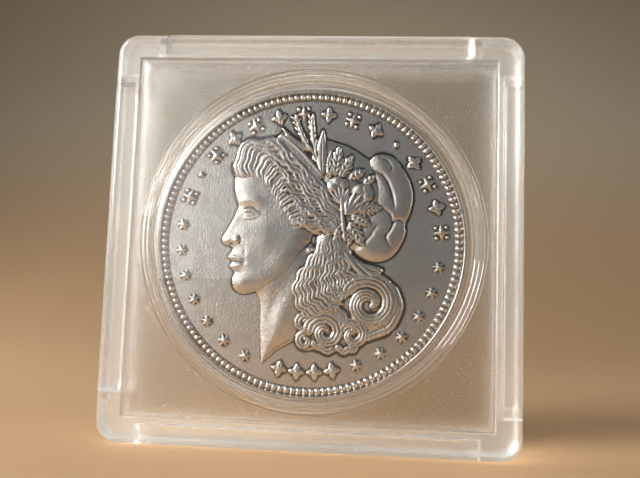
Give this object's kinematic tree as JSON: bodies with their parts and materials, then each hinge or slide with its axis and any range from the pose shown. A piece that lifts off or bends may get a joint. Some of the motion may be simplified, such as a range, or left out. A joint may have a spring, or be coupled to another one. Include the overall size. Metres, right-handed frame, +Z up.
{
  "type": "coin capsule",
  "caption": "Square clear snap-together capsule with a round window and frosted panels, holding a large silver coin in a round well.",
  "frame": {"origin": "on the surface that the capsule stands on, under the middle of its box", "axes": "+X right and +Z up as seen from the front, with the coin upright; -Y out of the front half's face, +Y out of the rear half's face"},
  "size_m": [0.0508, 0.0064, 0.0508],
  "materials": {
    "clear_polystyrene": "gloss",
    "struck_silver": "satin"
  },
  "bodies": {
    "rear_half": {"rear_half": "clear_polystyrene"},
    "front_half": {"front_half": "clear_polystyrene"},
    "coin": {"coin": "struck_silver"}
  },
  "joints": [
    {"name": "front_pull", "type": "slide", "parent": "rear_half", "child": "front_half", "axis": [0, -1, 0], "range_m": [0, 0.03]},
    {"name": "coin_lift", "type": "slide", "parent": "rear_half", "child": "coin", "axis": [0, -1, 0], "range_m": [0, 0.015]}
  ],
  "couplings": [
    {"joint": "coin_lift", "follows": "front_pull", "ratio": 0.5}
  ]
}
